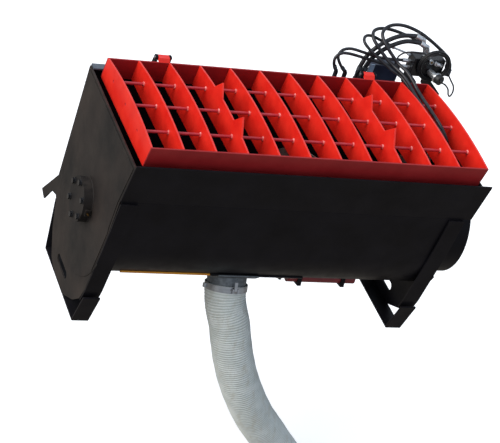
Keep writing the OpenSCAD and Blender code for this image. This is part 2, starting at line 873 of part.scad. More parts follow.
front_plate();
trough_shell();
rear_plate();
hinge_rail();
left_end_plate();
right_end_plate();
end_doublers();
skids();
leg_flanges();
mount_plate();
mount_lip();
mount_ribs();
bearing_cover();
flange_bolts();
shaft_bearing();
shaft_seals();
grease_nipple();
drive_cover();
drive_motor();
outlet_spigot();
gate_guides();
guide_extensions();
gate_barrel();
barrel_bracket();
hose_clamp();
discharge_hose();
hinge_brackets();
hinge_pins();
grate_ledges();
valve_bracket();
valve_block();
solenoid();
solenoid_cap();
valve_fittings();
control_box();
box_bracket();
loader_hose_a();
loader_hose_b();
loader_hose_c();
quick_couplers();
gate_hose_a();
gate_hose_b();
motor_hose_a();
motor_hose_b();
steel_pipes();
cable_coil();
control_cable();
auger_shaft();
auger_flights();
flight_arms();
drive_coupling();
grate_long_bars();
grate_end_bars();
grate_slats();
toothed_slats();
grate_rods();
hinge_knuckles();
gate_plate();
gate_rod();
clamp_lever();
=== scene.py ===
import json
import math
import bmesh
import bpy
import numpy as np
from mathutils import Matrix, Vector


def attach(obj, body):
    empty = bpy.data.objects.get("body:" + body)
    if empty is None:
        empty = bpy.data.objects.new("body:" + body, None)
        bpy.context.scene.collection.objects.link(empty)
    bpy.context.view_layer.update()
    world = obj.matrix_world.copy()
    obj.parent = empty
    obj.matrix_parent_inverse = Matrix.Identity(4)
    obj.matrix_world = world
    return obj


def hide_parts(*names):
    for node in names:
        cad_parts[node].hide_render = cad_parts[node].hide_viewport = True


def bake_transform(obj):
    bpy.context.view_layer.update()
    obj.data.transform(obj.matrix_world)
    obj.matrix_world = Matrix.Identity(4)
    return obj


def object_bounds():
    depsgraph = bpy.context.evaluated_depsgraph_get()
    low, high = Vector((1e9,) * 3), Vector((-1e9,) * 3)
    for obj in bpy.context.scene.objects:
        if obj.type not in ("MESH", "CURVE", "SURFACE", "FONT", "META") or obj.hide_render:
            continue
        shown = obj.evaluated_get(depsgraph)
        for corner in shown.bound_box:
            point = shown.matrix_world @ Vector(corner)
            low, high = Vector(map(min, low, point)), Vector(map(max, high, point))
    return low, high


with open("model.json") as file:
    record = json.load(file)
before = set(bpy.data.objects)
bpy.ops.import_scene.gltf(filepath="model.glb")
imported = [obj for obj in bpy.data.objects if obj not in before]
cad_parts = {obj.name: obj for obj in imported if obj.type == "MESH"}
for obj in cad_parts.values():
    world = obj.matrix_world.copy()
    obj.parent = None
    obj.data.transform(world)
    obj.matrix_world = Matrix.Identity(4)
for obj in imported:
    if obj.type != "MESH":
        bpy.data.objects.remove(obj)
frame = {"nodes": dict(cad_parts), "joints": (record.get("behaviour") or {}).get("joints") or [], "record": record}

cadBox = [[float(v) for v in corner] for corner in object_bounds()]
nodes = frame["nodes"]
record = frame["record"]
mm = 0.001
augerAxis = next(j["pos_m"] for j in frame["joints"] if j["name"] == "auger_spin")
rng = np.random.default_rng(7)


# Millimetres from the auger's axis to metres in the row frame
def place(points):
    return np.asarray(points, float) * mm + np.array(augerAxis)


# sRGB hex to linear: v/12.92 below 0.04045, else ((v + 0.055)/1.055)^2.4
def toLinear(hexColour):
    values = [int(hexColour[i:i + 2], 16) / 255 for i in (1, 3, 5)]
    return [v / 12.92 if v <= 0.04045 else ((v + 0.055) / 1.055) ** 2.4 for v in values] + [1]


# Adds a node, sets its options and sockets, and links sources into its inputs
def addNode(tree, kind, options={}, sockets={}, links={}):
    node = tree.nodes.new(kind)
    for name, value in options.items():
        setattr(node, name, value)
    for name, value in sockets.items():
        node.inputs[name].default_value = value
    for name, source in links.items():
        tree.links.new(source, node.inputs[name])
    return node


# Mesh from rows of points that close on themselves; each end is closed with a fan of triangles.
# The UV map runs in metres along the rows and from 0 to 1 around them.
def gridMesh(name, points, lengths=None, capEnds=True, sharp=38):
    rows, cols = points.shape[:2]
    lengths = np.arange(rows) * mm if lengths is None else np.asarray(lengths)
    i, j = np.meshgrid(np.arange(rows - 1), np.arange(cols), indexing="ij")
    i, j = i.ravel(), j.ravel()
    k = (j + 1) % cols
    quads = np.stack([i * cols + j, i * cols + k, (i + 1) * cols + k, (i + 1) * cols + j], 1)
    uvs = np.stack([np.stack([lengths[i], j / cols], 1), np.stack([lengths[i], (j + 1) / cols], 1),
                    np.stack([lengths[i + 1], (j + 1) / cols], 1),
                    np.stack([lengths[i + 1], j / cols], 1)], 1).reshape(-1, 2)
    vertices = points.reshape(-1, 3)
    faces = quads.tolist()
    if capEnds:
        centres = np.stack([points[0].mean(0), points[-1].mean(0)])
        start, last = len(vertices), (rows - 1) * cols
        ring = np.arange(cols)
        after = (ring + 1) % cols
        first = np.stack([np.full(cols, start), after, ring], 1)
        final = np.stack([np.full(cols, start + 1), last + ring, last + after], 1)
        vertices = np.vstack([vertices, centres])
        faces += first.tolist() + final.tolist()
        ends = [np.tile([lengths[0], 0.5], (3 * cols, 1)), np.tile([lengths[-1], 0.5], (3 * cols, 1))]
        uvs = np.vstack([uvs] + ends)
    corner = vertices[quads]
    volume = np.einsum("ij,ij->i", corner[:, 0], np.cross(corner[:, 1], corner[:, 2])).sum()
    volume += np.einsum("ij,ij->i", corner[:, 0], np.cross(corner[:, 2], corner[:, 3])).sum()
    mesh = bpy.data.meshes.new(name)
    mesh.from_pydata(vertices.tolist(), [], faces)
    layer = mesh.uv_layers.new(name="UVMap")
    layer.data.foreach_set("uv", uvs.ravel())
    if volume < 0:
        mesh.flip_normals()
    finishMesh(mesh, sharp)
    return mesh


def finishMesh(mesh, sharp):
    mesh.polygons.foreach_set("use_smooth", np.ones(len(mesh.polygons), bool))
    mesh.set_sharp_from_angle(angle=math.radians(sharp))
    mesh.update()


# Several closed meshes as one
def joinMeshes(name, meshes):
    joined = bmesh.new()
    for mesh in meshes:
        joined.from_mesh(mesh)
    result = bpy.data.meshes.new(name)
    joined.to_mesh(result)
    joined.free()
    return result


def addPiece(name, mesh, body, material, stands=()):
    piece = bpy.data.objects.new(name, mesh)
    bpy.context.scene.collection.objects.link(piece)
    piece.data.materials.clear()
    piece.data.materials.append(material)
    if body:
        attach(piece, body)
    if stands:
        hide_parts(*stands)
    return piece


# Catmull-Rom curve through the points, p(t) = half of (2b + (c - a)t + (2a - 5b + 4c - d)t^2
# + (3b - a - 3c + d)t^3) between b and c, cut into even steps
def smoothPath(points, step):
    p = np.asarray(points, float)
    p = np.vstack([2 * p[0] - p[1], p, 2 * p[-1] - p[-2]])
    t = np.linspace(0, 1, 24, endpoint=False)[:, None, None]
    a, b, c, d = p[:-3], p[1:-2], p[2:-1], p[3:]
    curve = 0.5 * (2 * b + (c - a) * t + (2 * a - 5 * b + 4 * c - d) * t ** 2
                   + (3 * b - a - 3 * c + d) * t ** 3)
    curve = np.vstack([curve.transpose(1, 0, 2).reshape(-1, 3), p[-2:-1]])
    reach = np.append(0, np.cumsum(np.linalg.norm(np.diff(curve, axis=0), axis=1)))
    even = np.linspace(0, reach[-1], max(2, round(reach[-1] / step)) + 1)
    return np.stack([np.interp(even, reach, curve[:, k]) for k in range(3)], 1)


def pathLengths(path):
    return np.append(0, np.cumsum(np.linalg.norm(np.diff(path, axis=0), axis=1)))


# Frame at each point of a path: its tangent, and a side direction carried from ring to ring
def carriedFrames(path):
    tangent = np.gradient(path, axis=0)
    tangent /= np.linalg.norm(tangent, axis=1)[:, None]
    side = np.empty_like(path)
    start = np.eye(3)[np.argmin(np.abs(tangent[0]))]
    for row in range(len(path)):
        start = start - tangent[row] * (start @ tangent[row])
        start = start / np.linalg.norm(start)
        side[row] = start
    return tangent, side, np.cross(tangent, side)


# Rings of a tube: centre + r(s, a) * (cos a * side + sin a * up)
def tubePoints(path, radius, sides):
    tangent, side, up = carriedFrames(path)
    angle = np.arange(sides) * 2 * math.pi / sides
    radius = np.broadcast_to(np.asarray(radius, float), (len(path), sides))[:, :, None]
    around = np.cos(angle)[None, :, None] * side[:, None] + np.sin(angle)[None, :, None] * up[:, None]
    return path[:, None] + radius * around


# Turned part from a to b: the profile's rows are (share of the way, radius, flats), where flats
# of 0 is round and 6 is a hexagon: r(a) = r * cos(pi/n) / cos(a mod 2pi/n - pi/n)
def turnedPart(name, a, b, profile, sides=36, sharp=30):
    a, b = np.asarray(a, float), np.asarray(b, float)
    rows = np.asarray(profile, float)
    axis = (b - a) / np.linalg.norm(b - a)
    side = np.cross(axis, np.eye(3)[np.argmin(np.abs(axis))])
    side /= np.linalg.norm(side)
    up = np.cross(axis, side)
    angle = np.arange(sides) * 2 * math.pi / sides
    flats = np.maximum(rows[:, 2], 1)[:, None]
    part = math.pi / flats
    polygon = np.cos(part) / np.cos(np.mod(angle[None], 2 * part) - part)
    shape = np.where(rows[:, 2][:, None] > 0, polygon, 1.0)
    radius = (rows[:, 1][:, None] * shape)[:, :, None]
    centre = a + rows[:, 0][:, None] * (b - a)
    around = np.cos(angle)[None, :, None] * side + np.sin(angle)[None, :, None] * up
    return gridMesh(name, centre[:, None] + radius * around, sharp=sharp)


# Texture coordinates that stay with the surface, in metres
def objectPlace(tree):
    return addNode(tree, "ShaderNodeTexCoord").outputs["Object"]


# Cloudy noise whose patches are about sizeMm across
def clouds(tree, sizeMm, detail=4.0, stretch=(1, 1, 1), roughness=0.55):
    moved = addNode(tree, "ShaderNodeMapping", {}, {"Scale": stretch}, {"Vector": objectPlace(tree)})
    noise = addNode(tree, "ShaderNodeTexNoise", {}, {"Scale": 1000 / sizeMm, "Detail": detail,
                    "Roughness": roughness}, {"Vector": moved.outputs[0]})
    return noise.outputs["Fac"]


def rescale(tree, source, low, high, toLow=0.0, toHigh=1.0):
    node = addNode(tree, "ShaderNodeMapRange", {"clamp": True}, {"From Min": low, "From Max": high,
                   "To Min": toLow, "To Max": toHigh}, {"Value": source})
    return node.outputs[0]


def times(tree, a, b):
    return addNode(tree, "ShaderNodeMath", {"operation": "MULTIPLY"}, {}, {0: a, 1: b}).outputs[0]


def mixColours(tree, factor, a, b):
    node = addNode(tree, "ShaderNodeMix", {"data_type": "RGBA"}, {}, {0: factor})
    for index, colour in ((6, a), (7, b)):
        if isinstance(colour, str):
            node.inputs[index].default_value = toLinear(colour)
        else:
            tree.links.new(colour, node.inputs[index])
    return node.outputs[2]


# Share of a face that looks up, from 0 at 45 degrees to 1 when level
def facingUp(tree):
    normal = addNode(tree, "ShaderNodeNewGeometry").outputs["Normal"]
    height = addNode(tree, "ShaderNodeSeparateXYZ", {}, {}, {"Vector": normal}).outputs["Z"]
    return rescale(tree, height, 0.5, 1.0)


# Rounded edges within sizeMm: where the softened normal leaves the true one
def edgeShare(tree, sizeMm):
    soft = addNode(tree, "ShaderNodeBevel", {"samples": 6}, {"Radius": sizeMm * mm}).outputs[0]
    true = addNode(tree, "ShaderNodeNewGeometry").outputs["Normal"]
    dot = addNode(tree, "ShaderNodeVectorMath", {"operation": "DOT_PRODUCT"}, {},
                  {0: soft, 1: true}).outputs["Value"]
    return rescale(tree, dot, 0.985, 0.85)


# Each finish: the two shades that its clouds run between, the size of those clouds, what settles
# on it and how its edges wear (on the signal red and the weld beads partly painted highlight),
# its gloss range, and the fine grain that breaks up its highlights
finishes = {
    # Satin black powder coat on plate: wide soft highlights, faint orange peel, pale dust on top
    "blackPowderCoat": dict(shades=("#0f0e12", "#18171c"), cloudMm=160, dustAndSheen="#3f3d3c",
        dustAndSheenShare=0.12, wearAndSheen="#34343a", wearAndSheenMm=2.2, wearAndSheenShare=0.5, rough=(0.34, 0.5), grainMm=2.6,
        grainHeight=0.05, shine=0.1),
    # The same coat on the end plates, where handling and dry mix have greyed and warmed it
    "scuffedPowderCoat": dict(shades=("#171718", "#322c29"), cloudMm=260, dustAndSheen="#5d554e",
        dustAndSheenShare=0.3, wearAndSheen="#4a4642", wearAndSheenMm=2.5, wearAndSheenShare=0.6, rough=(0.42, 0.6), grainMm=3,
        grainHeight=0.06, shine=0.2),
    # Coat of the folded top rail, painted blue-grey as a painted reflection of the sky
    "railSkyReflectionCoat": dict(shades=("#3d4651", "#4e5965"), cloudMm=120, dustAndSheen="#8f959b",
        dustAndSheenShare=0.25, wearAndSheen="#767b81", wearAndSheenMm=2, wearAndSheenShare=0.4, rough=(0.3, 0.45), grainMm=2.6,
        grainHeight=0.05, shine=0.4),
    # Signal red enamel sprayed over mill steel: glossy, lighter and pinker along every edge and on faces that look
    # up, partly wear and dust and partly a painted highlight
    "signalRedEnamel": dict(shades=("#dc2219", "#ee3224"), cloudMm=90, dustAndSheen="#e06a6c",
        dustAndSheenShare=0.3, wearAndSheen="#ea6a66", wearAndSheenMm=2.0, wearAndSheenShare=0.7, rough=(0.32, 0.48), grainMm=2.2,
        grainHeight=0.06, shine=0.3),
    # The same enamel on the two long bars, painted a darker red as painted shade
    "paintedShadeRedEnamel": dict(shades=("#8d1d20", "#a02629"), cloudMm=120, dustAndSheen="#b04a4c",
        dustAndSheenShare=0.3, wearAndSheen="#b85052", wearAndSheenMm=2.0, wearAndSheenShare=0.6, rough=(0.38, 0.52), grainMm=2.2,
        grainHeight=0.06, shine=0.25),
    # And on the round rods, drawn bar that takes it thinner and pinker
    "rodRedEnamel": dict(shades=("#b02c38", "#c03a44"), cloudMm=40, dustAndSheen="#d07880",
        dustAndSheenShare=0.3, wearAndSheen="#c8505a", wearAndSheenMm=1.0, wearAndSheenShare=0.3, rough=(0.32, 0.46), grainMm=1.4,
        grainHeight=0.05, shine=0.4),
    # Weld beads under the same red, left rougher, with pale pink painted glints in their shades, on their tops and
    # along their edges
    "redWeldBead": dict(shades=("#c8403c", "#e27a76"), cloudMm=9, dustAndSheen="#ffd6d2",
        dustAndSheenShare=0.9, wearAndSheen="#ffc9c4", wearAndSheenMm=1.5, wearAndSheenShare=0.5, rough=(0.2, 0.4), grainMm=1.5,
        grainHeight=0.25),
    # Glossy black enamel over castings, with the sand's pebbled skin under it
    "castingEnamel": dict(shades=("#111114", "#1b1c20"), cloudMm=45, dustAndSheen="#4f4e4d",
        dustAndSheenShare=0.15, wearAndSheen="#505155", wearAndSheenMm=1.5, wearAndSheenShare=0.5, rough=(0.2, 0.34), grainMm=1.8,
        grainHeight=0.22, shine=0.45),
    # Orange-yellow guard paint on folded strip
    "guardYellowPaint": dict(shades=("#e08d12", "#f0a528"), cloudMm=60, dustAndSheen="#b58b52",
        dustAndSheenShare=0.2, wearAndSheen="#7d6a45", wearAndSheenMm=1.6, wearAndSheenShare=0.4, rough=(0.35, 0.5), grainMm=2.2,
        grainHeight=0.06),
    # Dark red machine enamel on the drawn cylinder tube
    "oxideRedEnamel": dict(shades=("#6d1820", "#86212a"), cloudMm=50, dustAndSheen="#7d6460",
        dustAndSheenShare=0.2, wearAndSheen="#8d8a88", wearAndSheenMm=1.4, wearAndSheenShare=0.4, rough=(0.3, 0.45), grainMm=2,
        grainHeight=0.05),
    # Milled and handled bright steel: metallic, finely drawn along its length
    "drawnSteel": dict(shades=("#8f9195", "#b4b6b9"), cloudMm=25, dustAndSheen="#7b7772", dustAndSheenShare=0.2,
        wearAndSheen="#d7d8da", wearAndSheenMm=1, wearAndSheenShare=0.5, rough=(0.28, 0.48), grainMm=1.2,
        grainHeight=0.08, metallic=1.0, stretch=(0.15, 1, 1)),
    # Hot-dip galvanised steel under the trough: dull grey with pale crystal patches
    "hotDipZinc": dict(shades=("#565b60", "#7a8085"), cloudMm=18, dustAndSheen="#8b8f8c", dustAndSheenShare=0.3,
        wearAndSheen="#a3a7a9", wearAndSheenMm=1.4, wearAndSheenShare=0.3, rough=(0.42, 0.62), grainMm=3,
        grainHeight=0.05, metallic=0.7),
    # Hard chrome on the gate's rod: near mirror with the faintest drawn lines
    "hardChrome": dict(shades=("#d2d3d6", "#e2e3e5"), cloudMm=40, dustAndSheen="#9c9c9c", dustAndSheenShare=0.05,
        wearAndSheen="#ffffff", wearAndSheenMm=0.6, wearAndSheenShare=0.2, rough=(0.06, 0.14), grainMm=0.8,
        grainHeight=0.01, metallic=1.0),
    # Zinc plate on fittings: bright silver with a cold cast
    "brightZincPlate": dict(shades=("#c4c9ce", "#dfe3e6"), cloudMm=14, dustAndSheen="#a9a8a2",
        dustAndSheenShare=0.15, wearAndSheen="#f2f4f5", wearAndSheenMm=0.8, wearAndSheenShare=0.4, rough=(0.2, 0.38),
        grainMm=0.9, grainHeight=0.04, metallic=0.85),
    # Blued steel tube, dark and a little oily
    "bluedSteelTube": dict(shades=("#2b2e33", "#43474e"), cloudMm=20, dustAndSheen="#6a6862",
        dustAndSheenShare=0.2, wearAndSheen="#888b90", wearAndSheenMm=1, wearAndSheenShare=0.4, rough=(0.3, 0.45), grainMm=1.2,
        grainHeight=0.05, metallic=0.8),
    # Mixer steel scoured by aggregate, with pale cement dried on it
    "cementedSteel": dict(shades=("#5c5852", "#8b867d"), cloudMm=38, dustAndSheen="#b6b1a6",
        dustAndSheenShare=0.7, wearAndSheen="#9b9ca0", wearAndSheenMm=3, wearAndSheenShare=0.8, rough=(0.5, 0.85), grainMm=4,
        grainHeight=0.6, metallic=0.35),
    # Black nitrile seal: matt, slightly mottled
    "nitrileRubber": dict(shades=("#141415", "#1e1e1f"), cloudMm=12, dustAndSheen="#4d4c49",
        dustAndSheenShare=0.2, wearAndSheen="#2c2c2d", wearAndSheenMm=0.8, wearAndSheenShare=0.3, rough=(0.6, 0.8), grainMm=0.8,
        grainHeight=0.1),
    # Moulded nylon cap: matt black with spark-eroded grain
    "mouldedNylon": dict(shades=("#17181a", "#202225"), cloudMm=25, dustAndSheen="#5d5c59",
        dustAndSheenShare=0.2, wearAndSheen="#37393c", wearAndSheenMm=0.8, wearAndSheenShare=0.3, rough=(0.42, 0.55),
        grainMm=0.7, grainHeight=0.12),
    # Moulded navy polycarbonate box: satin, cool
    "navyPolycarbonate": dict(shades=("#1c2336", "#28314a"), cloudMm=60, dustAndSheen="#747c8a",
        dustAndSheenShare=0.25, wearAndSheen="#4b5670", wearAndSheenMm=1.2, wearAndSheenShare=0.3, rough=(0.35, 0.5),
        grainMm=0.9, grainHeight=0.08),
    # Pale blue chromated bracket sheet
    "chromatedSheet": dict(shades=("#a9c6e4", "#cfe0f2"), cloudMm=30, dustAndSheen="#c4ccd4",
        dustAndSheenShare=0.15, wearAndSheen="#d8e2ec", wearAndSheenMm=1, wearAndSheenShare=0.4, rough=(0.3, 0.45), grainMm=1.5,
        grainHeight=0.04, metallic=0.3),
    # Turned brass, browned by grease
    "agedBrass": dict(shades=("#5c4526", "#8a6a3a"), cloudMm=8, dustAndSheen="#4f4330", dustAndSheenShare=0.3,
        wearAndSheen="#d8b878", wearAndSheenMm=0.6, wearAndSheenShare=0.4, rough=(0.28, 0.45), grainMm=0.8,
        grainHeight=0.05, metallic=1.0),
}


def newMaterial(name):
    material = bpy.data.materials.new(name)
    material.use_nodes = True
    return material, material.node_tree, material.node_tree.nodes["Principled BSDF"]


def makeFinish(name):
    look = finishes[name]
    material, tree, shader = newMaterial(name)
    patch = rescale(tree, clouds(tree, look["cloudMm"], 5, look.get("stretch", (1, 1, 1))), 0.3, 0.7)
    colour = mixColours(tree, patch, *look["shades"])
    # Faces that look up take a second colour in patches: dust, and on the signal red and the weld beads a painted
    # highlight
    topDustAndSheen = times(tree, facingUp(tree), rescale(tree, clouds(tree, 34, 6), 0.35, 0.75, 0,
                    look["dustAndSheenShare"]))
    colour = mixColours(tree, topDustAndSheen, colour, look["dustAndSheen"])
    # Edges take a second colour in patches: wear, and on the signal red and the weld beads a painted highlight
    edgeWearAndSheen = rescale(tree, clouds(tree, 9, 5), 0.38, 0.62, 0.15 * look["wearAndSheenShare"],
                      look["wearAndSheenShare"])
    colour = mixColours(tree, times(tree, edgeShare(tree, look["wearAndSheenMm"]), edgeWearAndSheen), colour,
                        look["wearAndSheen"])
    tree.links.new(colour, shader.inputs["Base Color"])
    gloss = rescale(tree, clouds(tree, look["cloudMm"] * 0.4, 6), 0.3, 0.7, *look["rough"])
    tree.links.new(gloss, shader.inputs["Roughness"])
    grain = clouds(tree, look["grainMm"], 3, look.get("stretch", (1, 1, 1)))
    bump = addNode(tree, "ShaderNodeBump", {}, {"Strength": 0.5,
                   "Distance": look["grainHeight"] * mm}, {"Height": grain})
    tree.links.new(bump.outputs[0], shader.inputs["Normal"])
    shader.inputs["Metallic"].default_value = look.get("metallic", 0.0)
    shader.inputs["Specular IOR Level"].default_value = look.get("shine", 0.5)
    return material


finish = {name: makeFinish(name) for name in finishes}


# Bands that wind along a tube: |fract(s/pitch + a) - 0.5| mirrored, 0 at a band's edge to 0.5 at its
# middle, from the UV map's length s and share of a turn a
def spiralBands(tree, pitchMm):
    uv = addNode(tree, "ShaderNodeUVMap", {"uv_map": "UVMap"}).outputs[0]
    parts = addNode(tree, "ShaderNodeSeparateXYZ", {}, {}, {"Vector": uv})
    turns = addNode(tree, "ShaderNodeMath", {"operation": "DIVIDE"}, {1: pitchMm * mm},
                    {0: parts.outputs["X"]}).outputs[0]
    spiral = addNode(tree, "ShaderNodeMath", {"operation": "ADD"}, {},
                     {0: turns, 1: parts.outputs["Y"]}).outputs[0]
    band = addNode(tree, "ShaderNodeMath", {"operation": "FRACT"}, {}, {0: spiral}).outputs[0]
    return addNode(tree, "ShaderNodeMath", {"operation": "PINGPONG"}, {1: 0.5}, {0: band}).outputs[0]


# Synthetic rubber hose cover with the print of its cloth wrap: spiral bands 4 mm wide that lean
# around the hose, satin black with soft grey patches at random that are a painted sheen
def makeHoseCover(name, shades, wrapMm, rough):
    material, tree, shader = newMaterial(name)
    ridge = spiralBands(tree, wrapMm)
    # Painted sheen: grey patches laid at random over the black
    sheenPatches = rescale(tree, clouds(tree, 30, 5), 0.35, 0.7)
    colour = mixColours(tree, sheenPatches, *shades)
    tree.links.new(colour, shader.inputs["Base Color"])
    gloss = rescale(tree, clouds(tree, 14, 4), 0.3, 0.7, *rough)
    tree.links.new(gloss, shader.inputs["Roughness"])
    bump = addNode(tree, "ShaderNodeBump", {}, {"Strength": 0.35, "Distance": 0.15 * mm},
                   {"Height": ridge})
    tree.links.new(bump.outputs[0], shader.inputs["Normal"])
    shader.inputs["Specular IOR Level"].default_value = 0.45
    return material


hoseRubber = makeHoseCover("wrappedHoseRubber", ("#141519", "#2a2c32"), 4, (0.3, 0.45))
cableJacket = makeHoseCover("extrudedCableJacket", ("#101113", "#1d1e21"), 30, (0.35, 0.5))

print("camera")
cameraView = dict(place=(-3.720, -6.990, 5.133), right=(0.911, -0.301, 0.281),
                  up=(-0.043, 0.610, 0.792), lens=137.27, sensor=36.0, clipEnd=200)
cameraData = bpy.data.cameras.new("camera")
cameraData.lens = cameraView["lens"]
cameraData.sensor_width = cameraView["sensor"]
cameraData.clip_end = cameraView["clipEnd"]
cameraObject = bpy.data.objects.new("camera", cameraData)
bpy.context.scene.collection.objects.link(cameraObject)
right = np.array(cameraView["right"]) / np.linalg.norm(cameraView["right"])
back = np.cross(right, cameraView["up"])
back /= np.linalg.norm(back)
turned = np.eye(4)
turned[:3, :3] = np.stack([right, np.cross(back, right), back], 1)
turned[:3, 3] = cameraView["place"]
cameraObject.matrix_world = Matrix(turned.tolist())
bpy.context.scene.camera = cameraObject

print("hydraulic hoses")
hoseRoutes = {
    "loader_hose_a": dict(radius=8.5, points=[
        [1000, 470, 560], [987, 473, 595], [951, 480, 634], [900, 490, 668], [845, 503, 699],
        [792, 520, 722], [732, 540, 735], [680, 550, 736], [633, 548, 725], [600, 528, 704],
        [593, 495, 685], [610, 455, 660], [638, 430, 632], [666, 400, 608], [690, 345, 602],
        [706, 280, 586], [718, 210, 567], [726, 0, 560], [748, -62, 532], [766, -86, 500],
        [770, -90, 470]]),
    "loader_hose_b": dict(radius=8.5, points=[
        [900, 545, 590], [895, 577, 598], [868, 598, 618], [820, 603, 640], [765, 602, 656],
        [712, 598, 672], [656, 592, 684], [604, 580, 688], [567, 556, 683], [556, 520, 668],
        [570, 488, 649], [596, 460, 625], [622, 436, 604], [652, 400, 588], [677, 345, 581],
        [690, 285, 573], [691, 200, 563], [692, -10, 556], [704, -60, 530], [710, -76, 500],
        [711, -80, 470]]),
    "loader_hose_c": dict(radius=7.5, points=[
        [672, 555, 618], [630, 562, 632], [580, 565, 650], [538, 550, 661], [510, 522, 663],
        [504, 494, 653], [524, 466, 636], [556, 445, 616], [595, 420, 596], [640, 385, 575],
        [681, 348, 562], [700, 265, 548], [706, 90, 541], [716, -30, 545], [731, -90, 530],
        [738, -122, 495], [739, -125, 470]]),
    "gate_hose_a": dict(radius=7.5, points=[
        [371, 430, 520], [348, 431, 556], [345, 435, 590], [370, 441, 612], [415, 447, 612],
        [500, 456, 592], [600, 464, 567], [680, 474, 550], [735, 480, 548]]),
    "gate_hose_b": dict(radius=7.5, points=[
        [421, 430, 518], [386, 438, 552], [370, 456, 585], [386, 468, 614], [430, 470, 626],
        [505, 470, 612], [584, 475, 591], [660, 481, 582], [735, 488, 578]]),
    "motor_hose_a": dict(radius=11, points=[
        [516, 480, 492], [524, 485, 540], [547, 495, 590], [588, 502, 636], [645, 512, 674],
        [702, 514, 698], [772, 508, 708]]),
    "motor_hose_b": dict(radius=11, points=[
        [552, 490, 486], [558, 494, 530], [580, 500, 572], [620, 504, 614], [668, 504, 650],
        [730, 503, 676], [800, 492, 680]]),
}
loaderHoses = [name for name in hoseRoutes if name.startswith("loader")]


# Coupler half on a loader hose: crimped shell, hexagon, then the knurled sleeve
def couplerProfile(r):
    grooves = [(0.02 + 0.03 * i, r - (4.2 if i % 2 else 5), 0) for i in range(10)]
    knurls = [(0.5 + 0.02 * i, r - (1.0 if i % 2 else 1.6), 0) for i in range(14)]
    rows = grooves + [(0.33, r - 5, 6), (0.335, r - 1.4, 6), (0.42, r - 1.4, 6), (0.425, r - 4, 0),
                      (0.48, r - 4, 0)] + knurls + [(0.79, r - 2.5, 0), (0.8, r - 7, 0),
                                                    (0.98, r - 7, 0), (1.0, r - 8, 0)]
    return [(t, radius * mm, flats) for t, radius, flats in rows]


ringStep = 6 * mm
# Each shell starts a little above the hose's cut end and hangs below it
couplers = dict(above=6, below=107.5,
                radius={"loader_hose_a": 17, "loader_hose_b": 17, "loader_hose_c": 14})
for name, route in hoseRoutes.items():
    path = smoothPath(place(route["points"]), ringStep)
    reach = pathLengths(path)
    mesh = gridMesh(name + "_cover", tubePoints(path, route["radius"] * mm, 18), reach)
    free = name in loaderHoses
    hose = addPiece(name + "_cover", mesh, None if free else "bucket",
                    hoseRubber, [name])
    if free:
        top = path[-1] + np.array([0, 0, couplers["above"] * mm])
        low = path[-1] - np.array([0, 0, couplers["below"] * mm])
        coupler = addPiece(name + "_coupler", turnedPart(name + "_coupler", top, low,
                           couplerProfile(couplers["radius"][name])),
                           "grate", finish["brightZincPlate"], ["quick_couplers"])
        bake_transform(hose)

print("control cable")
# The cable leaves the box, winds on a ring and goes to the solenoid. On the ring its centre is at
# R + q cos(m) from the ring's centre and q sin(m) out of its plane, and m turns 60 degrees a turn
cable = dict(radius=4, ringRadius=76, windRadius=8.6, turns=5.4, startAngle=140,
             ringCentre=(885, 436, 590),
             into=[[715, 505, 535], [713, 503, 565], [716, 498, 595], [735, 486, 622],
                   [768, 462, 642]],
             outOf=[[1000, 426, 525], [1024, 420, 495], [1031, 415, 464], [1020, 409, 442],
                    [1003, 403, 455], [985, 397, 490], [955, 391, 517], [922, 386, 530]])
turn = np.linspace(0, cable["turns"], round(cable["turns"] * 16) + 1)
around = np.radians(cable["startAngle"] - 360 * turn)
wind = np.radians(200 + 60 * turn)
reachOut = cable["ringRadius"] + cable["windRadius"] * np.cos(wind)
wound = np.array(cable["ringCentre"]) + np.stack([reachOut * np.cos(around),
    cable["windRadius"] * np.sin(wind), reachOut * np.sin(around)], 1)
cablePath = smoothPath(place(np.vstack([cable["into"], wound[1:], cable["outOf"]])), 5 * mm)
cableReach = pathLengths(cablePath)
cablePiece = addPiece("control_cable_run", gridMesh("control_cable_run",
    tubePoints(cablePath, cable["radius"] * mm, 12), cableReach), "bucket",
    cableJacket, ["cable_coil", "control_cable"])

print("discharge hose")
discharge = dict(outletX=-135, tilt=25, outer=100, inner=95, pitch=12, ribHeight=3.4, sides=96,
                 clampedTo=42, clampFade=14,
                 route=[[0, 0, -365], [0, 0, -404], [4, 1, -436], [15, 4, -482], [45, 10, -560],
                        [78, 30, -665], [120, 58, -770], [176, 92, -880], [246, 132, -985],
                        [326, 176, -1085], [408, 214, -1170], [495, 250, -1262],
                        [585, 285, -1352]])


# Outlet's frame to the row frame: turned by the tilt about X, then moved along the auger
def fromOutlet(points):
    p = np.asarray(points, float)
    c, s = math.cos(math.radians(-discharge["tilt"])), math.sin(math.radians(-discharge["tilt"]))
    turnedPoints = np.stack([p[:, 0] + discharge["outletX"], p[:, 1] * c - p[:, 2] * s,
                             p[:, 1] * s + p[:, 2] * c], 1)
    return place(turnedPoints)


